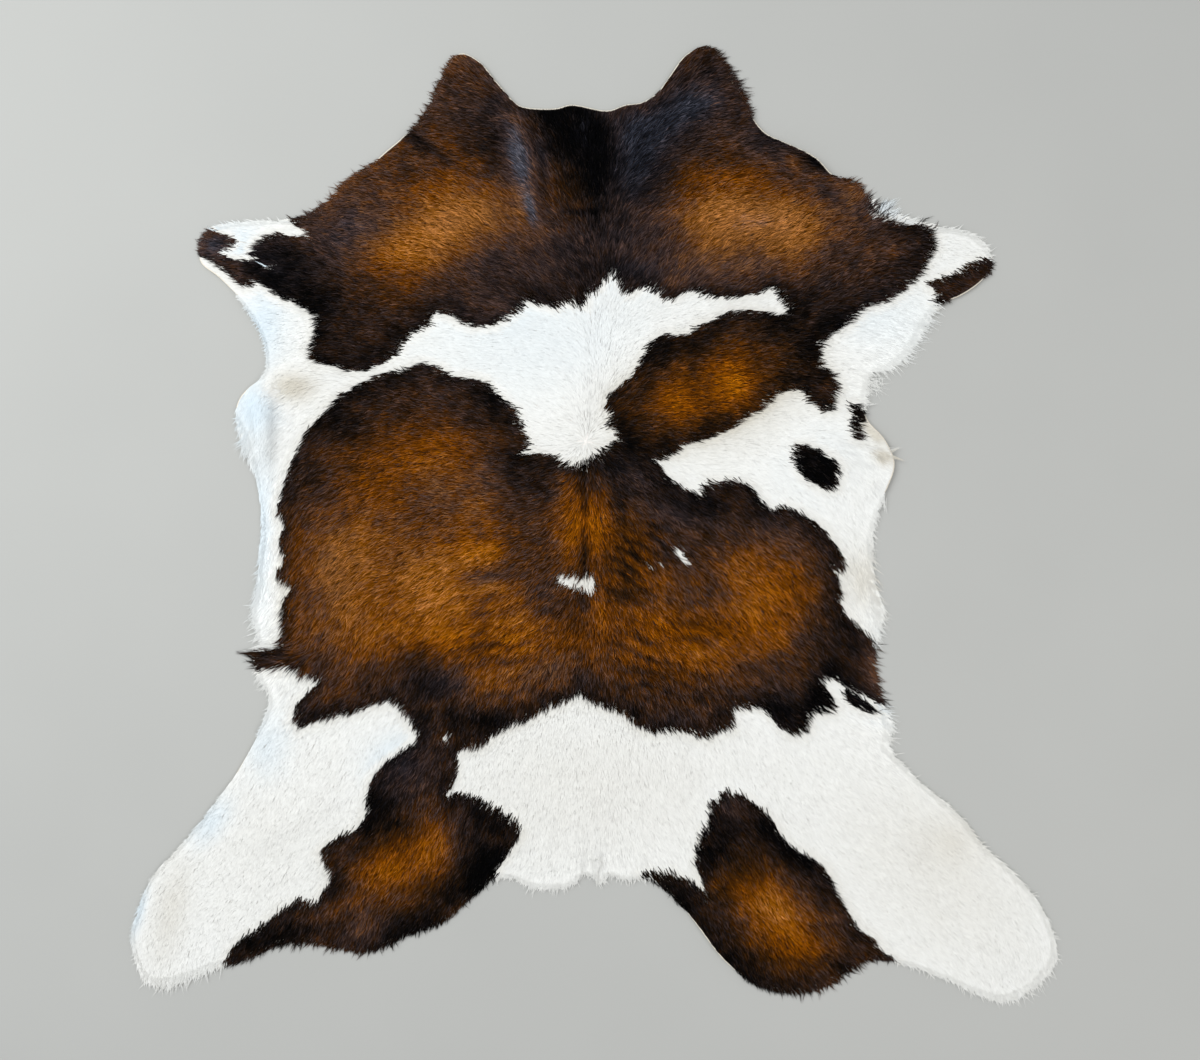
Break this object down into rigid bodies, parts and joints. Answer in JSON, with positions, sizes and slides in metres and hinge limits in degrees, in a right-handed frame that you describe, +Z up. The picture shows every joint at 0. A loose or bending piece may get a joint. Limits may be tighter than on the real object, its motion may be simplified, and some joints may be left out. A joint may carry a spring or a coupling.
{
  "type": "cowhide rug",
  "caption": "Whole hair-on cowhide laid flat as a floor rug, with neck tabs, fore and hind legs and a patched brown, black and white coat.",
  "frame": {"origin": "on the floor under the middle of the rug's box", "axes": "+Y towards the neck, +X to the right as seen from above with the neck up, +Z up out of the hair side"},
  "size_m": [1.662, 1.714, 0.0186],
  "materials": {
    "coat": "short lying cattle hair with a soft sheen, in brown, black and white patches",
    "skin": "matt buffed underside and cut edge of the tanned skin"
  },
  "bodies": {
    "root": {"hide": "coat"}
  },
  "joints": []
}
